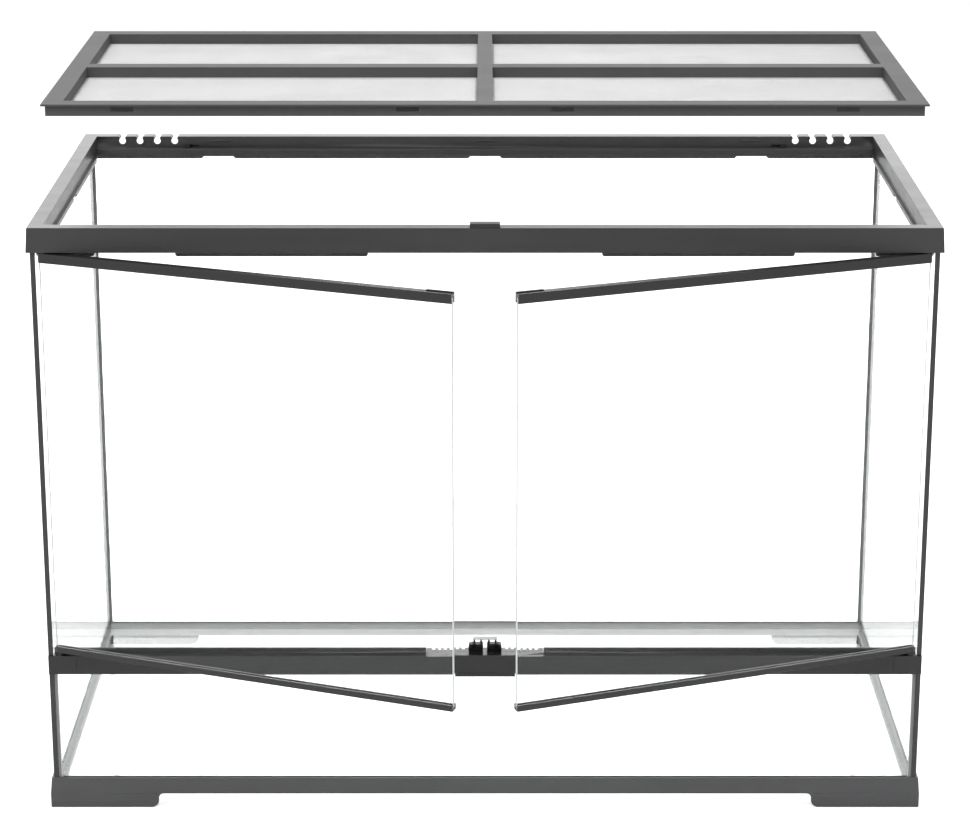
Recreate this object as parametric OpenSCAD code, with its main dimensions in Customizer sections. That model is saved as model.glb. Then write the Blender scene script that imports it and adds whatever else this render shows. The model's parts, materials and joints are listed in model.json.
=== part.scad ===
// Front-opening glass terrarium cabinet with two doors and a lift-off mesh lid.
// Millimetres. The origin is the centre of the glass box's footprint, on the ground:
// +X to the right, +Y to the rear, +Z up. The doors close in the plane of the front glass.

/* [Pose] */
// Angle by which both doors stand open
door_open = 21; // [0:1:89]
// Height by which the lid is lifted off its seat
lid_lift = 120; // [0:1:200]

/* [Glass box] */
// Width over the two side panes
glass_w = 900; // [600:10:1200]
// Depth from the door plane to the rear face of the rear pane
glass_d = 450; // [300:10:600]
// Height from the ground to the top rim
case_h = 622; // [420:1:900]
// Thickness of the fixed panes
pane_t = 5; // [4:0.5:6]
// Height of the lower front pane's upper edge above the ground
lower_pane_top = 160; // [120:1:300]
// Width of the silicone joint beside the lower front pane
front_joint = 3; // [2:0.5:4]
// Leg of the triangular silicone bead in the inner corners
bead = 3.5; // [2:0.5:5]

/* [Base frame] */
// Height of the base frame's upper edge above the ground
base_top = 33; // [28:0.5:60]
// Height of the feet
foot_h = 15.3; // [8:0.1:20]
// Length of a foot along the frame, where it meets the skirt
foot_len = 118; // [60:1:145]
// Wall thickness of the feet
foot_t = 3; // [2.5:0.1:4]
// Width of the ledge that carries the panes
base_ledge = 11; // [10:1:30]
// Height of the ledge's upper face above the ground
ledge_top = 20; // [18:0.5:26]

/* [Top frame] */
// Height of the outer skirt
top_skirt_h = 25; // [20:1:40]
// Width of the rim, from the glass box's outer face inwards
rim_in = 12.5; // [10:0.5:16]
// Depth of the lid's seat below the rim
seat_depth = 12.5; // [10:0.5:16]
// Width of the seat ledge
seat_w = 8.5; // [7:0.5:14]
// Wall thickness of the mouldings
wall = 2.5; // [2:0.1:3]
// Depth to which the door-stop lips hang below the rim
stop_depth = 31; // [29:1:60]
// Width of the snap tabs that hold the lid
tab_w = 22; // [12:1:30]

/* [Cable inlets] */
// Number of cable inlets at each rear corner
inlets = 4; // [1:1:5]
// Radius of an inlet's round hole
inlet_r = 3.75; // [2.5:0.25:4]
// Width of the slot that opens it upwards
inlet_slot = 5; // [3:0.5:6]
// Distance between neighbouring inlets
inlet_pitch = 19.6; // [18:0.2:24]
// Distance of the outermost inlet from the side pane's outer face
inlet_corner = 41.2; // [35:0.2:60]

/* [Sill] */
// Height of the sill bar
sill_h = 20.3; // [16:0.1:30]
// Depth of the sill bar in front of the front glass plane
sill_front = 4; // [3.8:0.1:6]
// Depth of the sill bar's rear wall behind the lower pane
sill_back = 3.5; // [3:0.1:5]
// Length of the end caps
cap_len = 29; // [24:1:40]
// Height of the door-stop lip on top of the sill
lip_h = 5.6; // [4:0.1:10]
// Half length of the vent grille in the middle of the sill
vent_half = 60; // [40:1:90]
// Distance between the vent slots
vent_pitch = 6; // [5:0.5:10]

/* [Doors] */
// Distance of the hinge axes from the side panes' outer faces
hinge_in = 12; // [10:0.5:20]
// Gap between the two closed doors
door_gap = 2; // [1.5:0.5:4]
// Thickness of the door panes
door_pane_t = 4; // [3:0.5:5]
// Thickness of the door rails
rail_t = 9; // [8:0.5:12]
// Height of the bottom rails
rail_low_h = 6.4; // [5.5:0.1:12]
// Height of the top rails
rail_top_h = 9.6; // [8:0.1:16]
// Radius of the hinge pins
pin_r = 2; // [1.5:0.1:2.2]

/* [Latch] */
// Width of the latch plate
latch_w = 62; // [50:1:80]
// Travel of the latch plate when it is pressed
latch_travel = 2.5; // [1.5:0.1:2.6]
// Height of the two receivers above the sill
receiver_h = 9; // [9:0.5:16]
// Distance of the strike pegs from the middle
strike_x = 11.5; // [8:0.5:13]

/* [Lid] */
// Width of the lid's outer rim
lid_rim = 20; // [18:1:30]
// Width of the long bar across the lid's middle
lid_long_bar = 20; // [10:1:30]
// Width of the short bar across the lid's middle
lid_cross_bar = 16; // [10:1:30]
// Gap all round between the lid and the top frame
lid_gap = 2; // [1.8:0.1:2.5]
// Width of the catch on the top frame's front
catch_w = 30; // [20:1:50]
// Depth of the catch
catch_d = 10.5; // [9.5:0.1:12]
// Travel of the catch over the lid's edge
catch_travel = 7.6; // [5:0.1:7.6]

/* [Hidden] */
$fn = 64;

half_w = glass_w / 2;
half_d = glass_d / 2;
front_y = -half_d;

// clearances
bond = 0.2;          // glue gap between a pane and a moulding
slide_gap = 0.2;     // between pieces that slide on each other
play = 0.3;          // round a leg, stem or tab that moves in a slot
pane_gap = 0.1;      // between the lower front pane and the bar clipped over it
pin_gap = 0.05;      // radial, between a hinge pin and its bearing
bearing_gap = 0.05;  // under a piece that slides on the face below it
pin_end = 1;         // left free at a hinge pin's end in its bearing
cut = 1;             // overrun of a cutting tool past a face
sink = 0.5;          // how far a rib or boss is sunk into the wall that carries it
fuse = 0.1;          // overlap that joins two blocks of one moulding

// frame mouldings
skirt_lean = 1.5;    // how far the skirts lean out towards their free edge
skirt_out = 2.3;     // thickness of a skirt at its thin edge
seat_z = case_h - seat_depth;
web_z = seat_z - wall;
skirt_low = case_h - top_skirt_h;
cell_z = case_h - wall;
lip_drop = 10.5;     // how far the inner lip hangs below the seat
lip_start = 5.5;     // where the slope ends and the upright lip starts
ledge_slope = 2;     // how far the slope from the ledge down to the lip runs inwards
lip_w = 2;           // thickness of the lips and strips
lip_gap = 38;        // length of the gaps in the lips' lower edges, at the bottom
lip_gap_h = 2.5;     // height of these gaps, whose ends rise at 45 degrees
side_ledge_w = 3;    // width of the side members' narrow ledge
strip_gap = 20;      // gap in the middle of the strip below that ledge
strip_end = 30;      // distance of the strip's ends from the front and rear inner wall
wall_in = rim_in - wall;

// cable inlets
inlet_depth = 5;     // depth of the holes' centres below the rim
inlet_z = case_h - inlet_depth;
inlet_x = [for (i = [0:inlets - 1]) half_w - inlet_corner - i * inlet_pitch];
inlet_inner = half_w - inlet_corner - (inlets - 1) * inlet_pitch;
window_side = 2.5;   // by which the skirt's window behind an inlet is wider, on each side
slider_t = 1.6;
slider_travel = inlet_pitch / 2;
slider_past = 14;    // how far a slider reaches past the centre of its last inlet
slider_tab_x = inlet_inner - slider_past;
slider_tab_w = 6;
slider_tab_h = 2.7;
slider_tab_out = 3;  // how far the finger tab stands out of the rear inner wall
slider_strip = 2.6;  // height of the slider's closed strip under the inlets
notch_play = 0.55;   // by which a slider's notches are wider than the inlets, on each side
guide_t = 1.5;       // thickness of the rib that keeps a slider against the wall
guide_h = 2.9;
guide_past = 10;     // how far the rib reaches past the slider's finger tab
guide_end = 4;       // distance of the rib from the side member's inner wall

// lid catch, in a shallow recess of the rim
recess = 1;
catch_h = 4;
catch_foot = 4;
catch_front = 2;     // how far its front stands before the front glass plane
catch_stem = 1.4;    // thickness of the stem that runs in the rim's slot
catch_stem_half = 4;
catch_head_half = 7; // half width of the head that holds the stem from below
catch_stem_y = front_y + 0.6;

// snap tabs
rear_tab_corner = 150;   // distance from the side pane's outer face
front_tab_corner = 94;
front_tab_middle = 76;   // distance from the middle
rear_tabs = [0, half_w - rear_tab_corner, rear_tab_corner - half_w];
front_tabs = [front_tab_middle, -front_tab_middle, half_w - front_tab_corner,
    front_tab_corner - half_w];
tab_low = 6.6;           // depths of a tab's lower and upper edge below the rim
tab_high = 3.4;
tab_slope = 1.6;         // height of a tab's lower slope
tab_nose = 0.8;          // height of its upright nose
tab_out = lid_gap - 0.4;

// front door stops on the top frame
stop_middle = 116;       // where the long stop starts, from the middle
stop_corner = 143;       // where it ends, from the side pane's outer face
stop_short = 63;         // length of the short stop, from the same face
lip_round = 2.5;         // radius of the stops' corners

// sill
sill_top = lower_pane_top + 10;
sill_low = sill_top - sill_h;
sill_y0 = front_y - sill_front;
sill_y1 = front_y + pane_t + sill_back;
sill_end = half_w - cap_len;
lip_t = 2;
sill_lip_round = 1;
trim_t = 1;
plate_t = 1.5;       // thickness of the latch plate
plate_low = 2;       // how far the plate hangs below the sill
deck_t = 2.5;
deck_d = 12;         // depth of the deck behind the sill
deck_y = sill_y1 + deck_d;
flange_x = 20;       // where the deck's glued flanges start, from the middle
flange_t = 2;
flange_h = 15;       // depth of the flanges below the deck's upper face
vent_x = 21;         // where the first vent slot starts, from the middle
vent_slot_w = 3;
vent_slot_l = 4.5;
leg_t = 2.2;
leg_x = [7, 12];
leg_y = sill_y1 + play;
leg_low = 8.5;       // depth of the legs' ends below the deck's upper face
rib_t = 1.5;
rib_side = 2;        // how far a rib is wider than its leg, on each side
tongue_gap = 0.05;
tongue_z0 = sill_top + tongue_gap;
tongue_z1 = tongue_z0 + 1.35;
tongue_half = 17;
receiver_x = [2, 17];
receiver_top = sill_top + receiver_h;
receiver_r = 2.5;
bridge_half = 12.5;
bridge_t = 1.2;
bridge_in = 1;       // by which the bridge starts behind the receivers' front
bridge_gap = 4.4;    // height at which the bridge stands over the receivers
bridge_z = receiver_top + bridge_gap;
stud_x = [4, 11];
stud_r = 1;

// doors
hinge_x = half_w - hinge_in;
hinge_y = front_y + 1.5;
door_len = hinge_x - door_gap / 2;
rail_half = rail_t / 2;
low_rail_z0 = sill_top + 3.2;
low_rail_z1 = low_rail_z0 + rail_low_h;
top_rail_z1 = skirt_low - 1;
top_rail_z0 = top_rail_z1 - rail_top_h;
groove_half = door_pane_t / 2 + 0.05;
pane_low = low_rail_z0 + 3;
pane_high = top_rail_z1 - 4;
pane_tail = 3;       // how far a door pane reaches past its hinge axis
pane_short = 0.5;    // how far it ends before the rails' free ends
pin_wall = 0.4;      // left between a hinge pin's socket and the pane's groove
low_bore_z0 = lower_pane_top + 2;
top_bore_z1 = web_z - 1;
strike_r = 1.1;
strike_wall = 0.95;  // left between the peg and the pane's groove
strike_in = rail_half - groove_half - strike_wall;
strike_out = 2.6;    // how far it stands out of the rail's rear face
strike_up = 3.2;     // height of the pegs above the bottom rails' lower face
strike_z = low_rail_z0 + strike_up;
slot_play = 0.5;     // by which a receiver's slot is wider than its peg, all round
slot_deep = 0.9;     // by which it is deeper
boss_r = 4.4;
boss_h = 3;          // height of the lower pivot boss above the sill
boss_low = 0.6;      // how far the upper pivot boss hangs below the skirt
stop_y0 = hinge_y + rail_half + 0.5;
receiver_y0 = hinge_y + rail_half + play;
receiver_y1 = receiver_y0 + 8.2;
bumper_len = 28;
bumper_h = 0.8;
bumper_in = 0.5;     // by which the pad is set in from the rail's faces

// lid
lid_top = case_h + lid_lift;
lid_h = seat_depth - 0.1;
lid_z0 = lid_top - lid_h;
lid_hw = half_w - rim_in - lid_gap;
lid_hd = half_d - rim_in - lid_gap;
flange = 4;          // how far the flange stands out over the lid's skirt
lid_wall = 2;
mesh_t = 0.8;
mesh_lip = 2;
mesh_floor = 1;      // thickness of the lips that the mesh lies on

module box(lo, hi) {
    translate(lo) cube(hi - lo);
}

// A prism along X over an outline of [y, z] points
module prism_x(x0, x1, outline) {
    translate([x0, 0, 0]) rotate([90, 0, 90]) linear_extrude(x1 - x0) polygon(outline);
}

// A cylinder along Y
module rod_y(x, z, r, y0, y1) {
    translate([x, y0, z]) rotate([-90, 0, 0]) cylinder(r = r, h = y1 - y0);
}

module both_sides() {
    children();
    mirror([1, 0, 0]) children();
}

// A strip along X in the planes y0 and y1, from the height z_root to its free edge at z_free,
// where both ends are rounded
module lip(x0, x1, y0, y1, z_root, z_free, r) {
    z_round = z_root > z_free ? z_free + r : z_free - r;
    box([x0, y0, min(z_root, z_round)], [x1, y1, max(z_root, z_round)]);
    box([x0 + r, y0, min(z_root, z_free)], [x1 - r, y1, max(z_root, z_free)]);
    for (x = [x0 + r, x1 - r]) rod_y(x, z_round, r, y0, y1);
}

// One straight frame member on the +X side, mitred at both ends. Its outline's points are
// [distance outwards from the glass box's outer face, height].
module member(outline, across, along) {
    reach_in = 40;
    reach_out = 10;
    length = 2 * (along + reach_out);
    intersection() {
        translate([across, 0, 0]) rotate([90, 0, 0])
            linear_extrude(length, center = true) polygon(outline);
        linear_extrude(case_h) polygon([
            [across - reach_in, along - reach_in],
            [across + reach_out, along + reach_out],
            [across + reach_out, -along - reach_out],
            [across - reach_in, reach_in - along]]);
    }
}

// A closed ring of four mitred members
module ring(outline) {
    member(outline, half_w, half_d);
    rotate([0, 0, 90]) member(outline, half_d, half_w);
    rotate([0, 0, 180]) member(outline, half_w, half_d);
    rotate([0, 0, 270]) member(outline, half_d, half_w);
}

// ---- base -------------------------------------------------------------------------------

// A foot's leg along +X from the corner at the origin, in its outline's own plane
module foot_outline() {
    toe_r = 8;
    neck_r = 5;
    toe_x = foot_len - neck_r;
    difference() {
        square([foot_len, foot_h + sink]);
        translate([toe_x, -cut]) square([neck_r + cut, foot_h - neck_r + cut]);
        translate([foot_len, foot_h - neck_r]) circle(neck_r);
        difference() {
            translate([toe_x - toe_r, -cut]) square([toe_r + cut, toe_r + cut]);
            translate([toe_x - toe_r, toe_r]) circle(toe_r);
        }
    }
}

module foot_leg(thickness) {
    translate([0, thickness, 0]) rotate([90, 0, 0]) linear_extrude(thickness) foot_outline();
}

// The foot of the front left corner: an L-shaped wall that goes on from the skirt
module foot() {
    out = skirt_out + skirt_lean;
    translate([-half_w - out, -half_d - out, 0]) {
        foot_leg(foot_t);
        mirror([1, -1, 0]) foot_leg(foot_t);
    }
}

module base_frame() {
    out = skirt_out + skirt_lean;
    color("#4e4e50") {
        ring([[out, foot_h], [skirt_out, base_top], [bond, base_top], [bond, ledge_top],
            [-base_ledge, ledge_top], [-base_ledge, ledge_top - wall],
            [out - wall, ledge_top - wall], [out - wall, foot_h]]);
        both_sides() {
            foot();
            mirror([0, 1, 0]) foot();
        }
    }
}

// ---- glass and its joints ---------------------------------------------------------------

module floor_glass() {
    color("lightcyan", 0.4) box([pane_t + bond - half_w, pane_t + bond - half_d, ledge_top],
        [half_w - pane_t - bond, half_d - pane_t - bond, ledge_top + pane_t]);
}

module left_side_glass() {
    color("lightcyan", 0.4) box([-half_w, -half_d, ledge_top], [pane_t - half_w, half_d, web_z]);
}

module right_side_glass() {
    mirror([1, 0, 0]) left_side_glass();
}

module rear_glass() {
    side = half_w - pane_t - bond;
    color("lightcyan", 0.4) box([-side, half_d - pane_t, ledge_top], [side, half_d, web_z]);
}

module front_lower_glass() {
    side = half_w - pane_t - front_joint;
    color("lightcyan", 0.4) box([-side, front_y, ledge_top], [side, front_y + pane_t, lower_pane_top]);
}

module left_edge_trim() {
    color("#1c1c1e") box([-half_w, front_y - trim_t, base_top], [pane_t - half_w, front_y, skirt_low]);
}

module right_edge_trim() {
    mirror([1, 0, 0]) left_edge_trim();
}

// The silicone joint between the side pane and the lower front pane
module front_left_seal() {
    color("#1c1c1e") box([pane_t - half_w, front_y, ledge_top + pane_t + bead],
        [pane_t + front_joint - half_w, front_y + pane_t, lower_pane_top]);
}

module front_right_seal() {
    mirror([1, 0, 0]) front_left_seal();
}

// A triangular bead in the upright rear corner
module rear_left_seal() {
    z0 = ledge_top + pane_t + bead;
    color("#c9ccca") translate([pane_t - half_w, half_d - pane_t, z0])
        linear_extrude(web_z - z0) polygon([[0, 0], [bead, 0], [0, -bead]]);
}

module rear_right_seal() {
    mirror([1, 0, 0]) rear_left_seal();
}

// The bead all round the floor pane
module floor_seal() {
    z0 = ledge_top + pane_t;
    color("#c9ccca") ring([[-pane_t, z0], [-pane_t, z0 + bead], [-pane_t - bead, z0]]);
}

// ---- top frame --------------------------------------------------------------------------

// The keyhole of one cable inlet, cut right through the rear member. Behind it the skirt has a
// wider window, so that a cable can bend down at once.
module inlet_cut(x) {
    y0 = half_d - rim_in - cut;
    y1 = half_d + skirt_out + skirt_lean + cut;
    window = inlet_r + window_side;
    funnel = 1.5;
    past = 0.01;
    rod_y(x, inlet_z, inlet_r, y0, y1);
    box([x - window, half_d + skirt_out - wall - cut, seat_z], [x + window, y1, cell_z]);
    box([x - inlet_slot / 2, y0, inlet_z], [x + inlet_slot / 2, y1, case_h + cut]);
    translate([x, y1, 0]) rotate([90, 0, 0]) linear_extrude(y1 - y0) polygon([
        [-inlet_slot / 2, case_h - 2 * funnel], [inlet_slot / 2, case_h - 2 * funnel],
        [inlet_slot / 2 + funnel, case_h + past], [-inlet_slot / 2 - funnel, case_h + past]]);
}

// The slot in the rear inner wall for a slider's finger tab, on the right
module slider_slot() {
    half = slider_tab_w / 2 + play;
    box([slider_tab_x - half - slider_travel, half_d - rim_in - cut, seat_z],
        [slider_tab_x + half, half_d - wall_in + cut, seat_z + slider_tab_h + 2 * slide_gap]);
}

// A snap tab at x on the rear inner wall
module snap_tab(x) {
    y = half_d - rim_in;
    z = [case_h - tab_low, case_h - tab_low + tab_slope,
        case_h - tab_low + tab_slope + tab_nose, case_h - tab_high];
    prism_x(x - tab_w / 2, x + tab_w / 2, [[y + sink, z[0]], [y, z[0]], [y - tab_out, z[1]],
        [y - tab_out, z[2]], [y, z[3]], [y + sink, z[3]]]);
}

// The lid's seat along the rear inner wall, with the slope and the lip below its edge
module seat_ledge() {
    wall_y = half_d - rim_in;
    edge = wall_y - seat_w;
    lip = edge - ledge_slope;
    prism_x(rim_in - half_w - fuse, half_w - rim_in + fuse, [[wall_y + fuse, web_z],
        [wall_y + fuse, seat_z], [edge, seat_z], [lip, seat_z - lip_start],
        [lip, seat_z - lip_drop], [lip + lip_w, seat_z - lip_drop],
        [lip + lip_w, seat_z - lip_start], [edge + lip_w, web_z]]);
}

// The lower edges of both lips have gaps, in line with the rear snap tabs
module lip_gaps() {
    z = seat_z - lip_drop;
    half = lip_gap / 2;
    for (x = rear_tabs) translate([x, half_d, 0]) rotate([90, 0, 0]) linear_extrude(glass_d)
        polygon([[-half - cut, z - cut], [half + cut, z - cut],
            [half - lip_gap_h, z + lip_gap_h], [lip_gap_h - half, z + lip_gap_h]]);
}

// The right side member has no seat. Its inner wall goes on down to a narrow ledge, and a strip
// in two lengths hangs from the ledge's edge.
module side_ledge() {
    wall_x = half_w - rim_in;
    end = half_d - rim_in;
    ledge_z = seat_z - lip_start;
    strip_x = wall_x - side_ledge_w;
    box([wall_x, -end - lip_w, ledge_z - lip_w], [wall_x + lip_w, end + lip_w, web_z + fuse]);
    box([strip_x, -end, ledge_z - lip_w], [wall_x + fuse, end, ledge_z]);
    for (y = [strip_gap / 2, strip_end - end]) let (length = end - strip_end - strip_gap / 2)
        box([strip_x, y, seat_z - lip_drop], [strip_x + lip_w, y + length, ledge_z - lip_w + fuse]);
}

// The front member's door-stop lips, on the right
module door_stops() {
    for (x = [[stop_middle, half_w - stop_corner], [half_w - stop_short, half_w - pane_t - bond]])
        lip(x[0], x[1], stop_y0, stop_y0 + lip_t, web_z + cut, case_h - stop_depth, lip_round);
}

module top_frame() {
    guide_y = half_d - wall_in + slider_t + 2 * slide_gap;
    color("#434345") difference() {
        union() {
            difference() {
                ring([[skirt_out + skirt_lean, skirt_low], [skirt_out, case_h], [-rim_in, case_h],
                    [-rim_in, web_z], [bond, web_z], [bond, skirt_low]]);
                ring([[-wall_in, seat_z], [skirt_out - wall, seat_z], [skirt_out - wall, cell_z],
                    [-wall_in, cell_z]]);
            }
            difference() {
                union() {
                    seat_ledge();
                    mirror([0, 1, 0]) seat_ledge();
                }
                lip_gaps();
            }
            both_sides() {
                side_ledge();
                door_stops();
                translate([hinge_x, hinge_y, skirt_low - boss_low])
                    cylinder(r = boss_r, h = web_z - skirt_low + boss_low + sink);
                box([slider_tab_x - slider_travel - guide_past, guide_y, seat_z - sink],
                    [half_w - wall_in - guide_end, guide_y + guide_t, seat_z + guide_h]);
            }
            for (x = rear_tabs) snap_tab(x);
            for (x = front_tabs) rotate([0, 0, 180]) snap_tab(x);
        }
        both_sides() {
            for (x = inlet_x) inlet_cut(x);
            slider_slot();
            translate([hinge_x, hinge_y, skirt_low - cut])
                cylinder(r = pin_r + pin_gap, h = top_bore_z1 - skirt_low + cut);
        }
        box([-catch_w / 2 - slide_gap, front_y - skirt_out - skirt_lean - cut, case_h - recess],
            [catch_w / 2 + slide_gap, front_y + rim_in + cut, case_h + cut]);
        box([-catch_stem_half - slide_gap, catch_stem_y - slide_gap, cell_z - cut],
            [catch_stem_half + slide_gap, catch_stem_y + catch_stem + catch_travel + play, case_h]);
    }
}

// A catch that slides back over the lid's edge. Its foot runs in the rim's recess.
module lid_catch() {
    y0 = front_y - catch_front;
    y1 = catch_stem_y + catch_stem;
    half = catch_w / 2;
    head_t = 2;
    low = case_h + play;
    color("#3a3a3c") {
        box([-half, y0, low], [half, y0 + catch_d, low + catch_h]);
        box([-half, y0, case_h - recess + bearing_gap], [half, y0 + catch_foot, low + fuse]);
        box([-catch_stem_half, catch_stem_y, cell_z - head_t + fuse], [catch_stem_half, y1, case_h]);
        box([-catch_head_half, catch_stem_y, cell_z - head_t], [catch_head_half, y1, cell_z - play]);
    }
}

// A toothed strip behind the rear wall that closes four inlets when it is pushed inwards
module right_inlet_slider() {
    y0 = half_d - wall_in + slide_gap;
    z0 = seat_z + slide_gap / 2;
    z1 = cell_z - slide_gap;
    half_cut = inlet_r + notch_play;
    tab_z0 = seat_z + slide_gap;
    color("#2c2c2e") {
        difference() {
            box([slider_tab_x - slider_tab_w, y0, z0],
                [half_w - inlet_corner + slider_past, y0 + slider_t, z1]);
            for (x = inlet_x)
                box([x - half_cut, y0 - cut, z0 + slider_strip],
                    [x + half_cut, y0 + slider_t + cut, z1 + cut]);
        }
        box([slider_tab_x - slider_tab_w / 2, half_d - rim_in - slider_tab_out, tab_z0],
            [slider_tab_x + slider_tab_w / 2, y0 + slider_t / 2, tab_z0 + slider_tab_h]);
    }
}

module left_inlet_slider() {
    mirror([1, 0, 0]) right_inlet_slider();
}

// ---- sill -------------------------------------------------------------------------------

// The bar is clipped over the lower front pane. Its front holds a pocket for the latch plate.
module door_sill() {
    color("#444446") difference() {
        union() {
            box([-sill_end, sill_y0, sill_low], [sill_end, sill_y1, sill_top]);
            both_sides() lip(vent_half, sill_end, stop_y0, stop_y0 + lip_t, sill_top - sink,
                sill_top + lip_h, sill_lip_round);
        }
        box([-sill_end - cut, front_y - pane_gap, sill_low - cut],
            [sill_end + cut, front_y + pane_t + pane_gap, lower_pane_top]);
        box([-latch_w / 2 - play, sill_y0 - cut, sill_low - cut],
            [latch_w / 2 + play, sill_y0 + latch_travel + slide_gap, sill_top + cut]);
    }
}

module left_sill_cap() {
    seam = -sill_end;
    inner = pane_t + bond - half_w;
    color("#3e3e40") difference() {
        union() {
            box([-half_w, sill_y0, sill_low], [seam, front_y - trim_t, sill_top]);
            box([inner, sill_y0, lower_pane_top], [seam, sill_y1, sill_top]);
            box([inner + front_joint, front_y + pane_t + pane_gap, sill_low],
                [seam, sill_y1, sill_top]);
            lip(inner, seam, stop_y0, stop_y0 + lip_t, sill_top - sink, sill_top + lip_h,
                sill_lip_round);
            translate([-hinge_x, hinge_y, sill_top - sink])
                cylinder(r = boss_r, h = boss_h + sink);
        }
        translate([-hinge_x, hinge_y, low_bore_z0])
            cylinder(r = pin_r + pin_gap, h = sill_top + boss_h + cut - low_bore_z0);
    }
}

module right_sill_cap() {
    mirror([1, 0, 0]) left_sill_cap();
}

// The deck behind the sill: slotted along its rear edge, with a flange that is glued to the
// sill's rear face, guide slots for the latch's legs and ribs that its springs push against
module vent_grille() {
    slots = floor((vent_half - vent_x) / vent_pitch);
    low = sill_top - deck_t;
    color("#48484a") difference() {
        union() {
            box([-vent_half, sill_y1, low], [vent_half, deck_y, sill_top]);
            both_sides() {
                box([flange_x, sill_y1, sill_top - flange_h],
                    [vent_half, sill_y1 + flange_t, low + fuse]);
                box([leg_x[0] - rib_side, deck_y - rib_t, sill_top - leg_low],
                    [leg_x[1] + rib_side, deck_y, low + fuse]);
            }
        }
        both_sides() {
            for (i = [0:slots - 1]) translate([vent_x + i * vent_pitch, 0, 0])
                box([0, deck_y - vent_slot_l, low - cut], [vent_slot_w, deck_y + cut, sill_top + cut]);
            box([leg_x[0] - play, sill_y1 - cut, low - cut],
                [leg_x[1] + play, leg_y + leg_t + latch_travel + play, sill_top + cut]);
        }
    }
}

// ---- latch ------------------------------------------------------------------------------

// Front plate, tongue over the sill and two barbed legs through the deck, in one moulding
module latch_plate() {
    y0 = sill_y0 - plate_t;
    half = latch_w / 2;
    border = 3.5;
    field = [sill_low + 2, sill_top - 3];
    field_depth = 0.4;
    tongue_root = 3;
    barb = 1;
    color("#333335") {
        difference() {
            box([-half, y0, sill_low - plate_low], [half, sill_y0, tongue_z1]);
            box([border - half, y0 - cut, field[0]], [half - border, y0 + field_depth, field[1]]);
        }
        box([-half, sill_y0 - fuse, tongue_z0], [half, front_y + tongue_root, tongue_z1]);
        box([-tongue_half, front_y, tongue_z0], [tongue_half, receiver_y1, tongue_z1]);
        both_sides() {
            box([leg_x[0], leg_y, sill_top - leg_low], [leg_x[1], leg_y + leg_t, tongue_z0 + fuse]);
            box([leg_x[0] - barb, leg_y, sill_top - leg_low],
                [leg_x[1] + barb, leg_y + leg_t, sill_top - deck_t - play]);
        }
    }
}

// A block that stands on the latch's tongue, with the slot that takes a door's strike peg and
// two studs that carry the bridge
module right_latch_receiver() {
    x0 = receiver_x[0];
    x1 = receiver_x[1];
    flat = receiver_top - receiver_r;
    slot = strike_r + slot_play;
    color("#17171a") difference() {
        union() {
            box([x0, receiver_y0, tongue_z1], [x1, receiver_y1, flat]);
            box([x0, receiver_y0, flat - cut], [x1 - receiver_r, receiver_y1, receiver_top]);
            rod_y(x1 - receiver_r, flat, receiver_r, receiver_y0, receiver_y1);
            for (x = stud_x) translate([x, (receiver_y0 + receiver_y1) / 2, receiver_top - sink])
                cylinder(r = stud_r, h = bridge_z - receiver_top + sink);
        }
        box([strike_x - slot, receiver_y0 - cut, strike_z - slot],
            [strike_x + slot, receiver_y0 + strike_out + slot_deep, strike_z + slot]);
    }
}

module left_latch_receiver() {
    mirror([1, 0, 0]) right_latch_receiver();
}

// The plate that ties the two receivers together, glued on their four studs
module latch_bridge() {
    color("#8a8c8e") box([-bridge_half, receiver_y0 + bridge_in, bridge_z],
        [bridge_half, receiver_y1, bridge_z + bridge_t]);
}

// Points of a closed six-sided wire along a helix about Y
spring_turns = 3;
spring_rings = 12;
spring_r = 1.9;
spring_drop = 5.4;   // depth of the springs' axes below the deck's upper face
wire_r = 0.25;
wire_sides = 6;
function helix(i, span) = let (a = 360 * i / spring_rings)
    [spring_r * cos(a), span * i / (spring_turns * spring_rings), spring_r * sin(a)];
function wire_ring(i, span) = let (a = 360 * i / spring_rings, c = helix(i, span))
    [for (k = [0:wire_sides - 1]) let (b = 360 * k / wire_sides)
        c + wire_r * [cos(a) * cos(b), sin(b), sin(a) * cos(b)]];

module spring(x) {
    y0 = leg_y + leg_t + wire_r;
    span = deck_y - rib_t - wire_r - y0;
    last = spring_turns * spring_rings;
    n = wire_sides;
    points = [for (i = [0:last]) each wire_ring(i, span)];
    sides = [for (i = [0:last - 1], k = [0:n - 1]) let (a = n * i + k, b = n * i + (k + 1) % n)
        each [[a, b, b + n], [a, b + n, a + n]]];
    ends = [[for (k = [n - 1:-1:0]) k], [for (k = [0:n - 1]) n * last + k]];
    translate([x, y0, sill_top - spring_drop]) polyhedron(points, concat(sides, ends));
}

module latch_springs() {
    middle = (leg_x[0] + leg_x[1]) / 2;
    color("silver") {
        spring(middle);
        spring(-middle);
    }
}

// ---- doors ------------------------------------------------------------------------------

// Places a piece of the left door, drawn closed with the hinge axis at the origin,
// the free end towards +X and the inside towards +Y
module left_door() {
    translate([-hinge_x, hinge_y, 0]) rotate([0, 0, -door_open]) children();
}

// A rail with a groove for the pane between z0 and z1, open at its free end
module rail(z0, z1, groove_z0, groove_z1) {
    difference() {
        union() {
            box([0, -rail_half, z0], [door_len, rail_half, z1]);
            translate([0, 0, z0]) cylinder(r = rail_half, h = z1 - z0);
        }
        box([-pane_tail - pane_gap, -groove_half, groove_z0],
            [door_len + cut, groove_half, groove_z1]);
        children();
    }
}

module left_door_glass() {
    color("lightcyan", 0.4) left_door()
        box([-pane_tail, -door_pane_t / 2, pane_low],
            [door_len - pane_short, door_pane_t / 2, pane_high]);
}

module left_door_top_rail() {
    color("#424244") left_door() rail(top_rail_z0, top_rail_z1, top_rail_z0 - cut, pane_high)
        translate([0, 0, pane_high + pin_wall])
            cylinder(r = pin_r, h = top_rail_z1 + cut - pane_high - pin_wall);
}

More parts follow.
